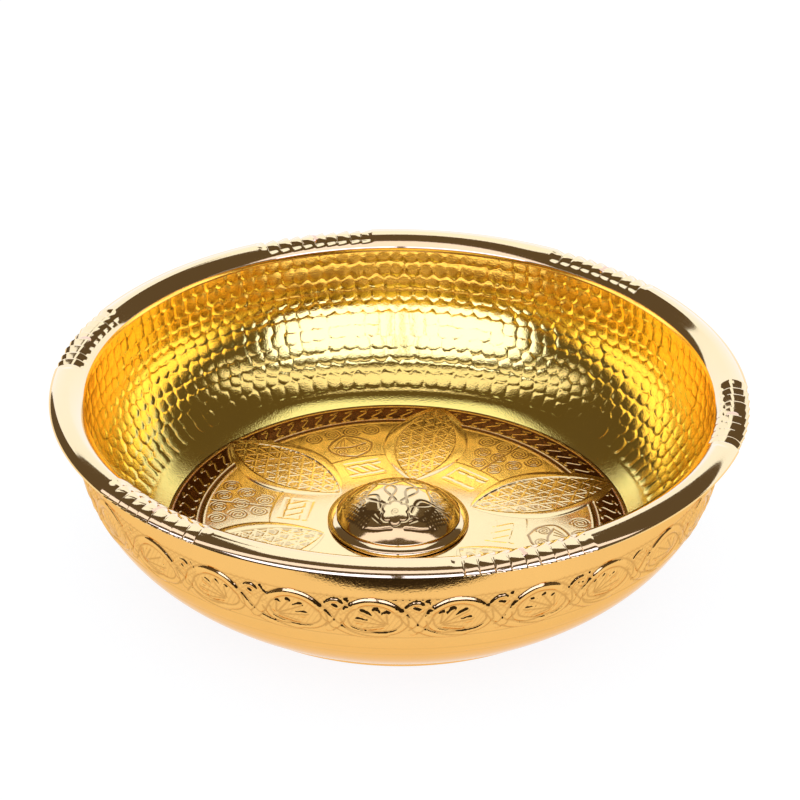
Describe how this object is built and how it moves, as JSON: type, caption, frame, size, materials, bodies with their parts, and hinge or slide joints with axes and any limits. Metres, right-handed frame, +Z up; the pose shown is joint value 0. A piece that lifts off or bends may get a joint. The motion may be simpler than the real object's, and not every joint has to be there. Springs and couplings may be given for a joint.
{
  "type": "hammered bowl",
  "caption": "Wide shallow brass bowl with a hammered inner wall, an engraved floor with a round boss, a vine frieze outside and a half-round notched rim.",
  "frame": {"origin": "centre of the flat base, on the surface that the bowl stands on", "axes": "+Z up through the boss; -Y faces the viewer of the picture, +X to the viewer's right"},
  "size_m": [0.2, 0.2, 0.055],
  "materials": {
    "cast_gold_brass": "satin polished brass with small pits and a chased frieze",
    "hammered_brass": "polished brass, hammer marked",
    "engraved_brass": "polished brass, engraved, darker in the cuts",
    "turned_brass": "bright polished brass",
    "chased_brass": "polished brass, chased",
    "copper_pin": "polished copper, filed flush"
  },
  "bodies": {
    "root": {"outer_shell": "cast_gold_brass", "hammered_liner": "hammered_brass", "floor_medallion": "engraved_brass", "boss_collar": "turned_brass", "boss_dome": "chased_brass", "rim_bead": "turned_brass", "rim_pin_1": "copper_pin", "rim_pin_2": "copper_pin", "rim_pin_3": "copper_pin", "rim_pin_4": "copper_pin", "rim_pin_5": "copper_pin", "rim_pin_6": "copper_pin"}
  },
  "joints": []
}
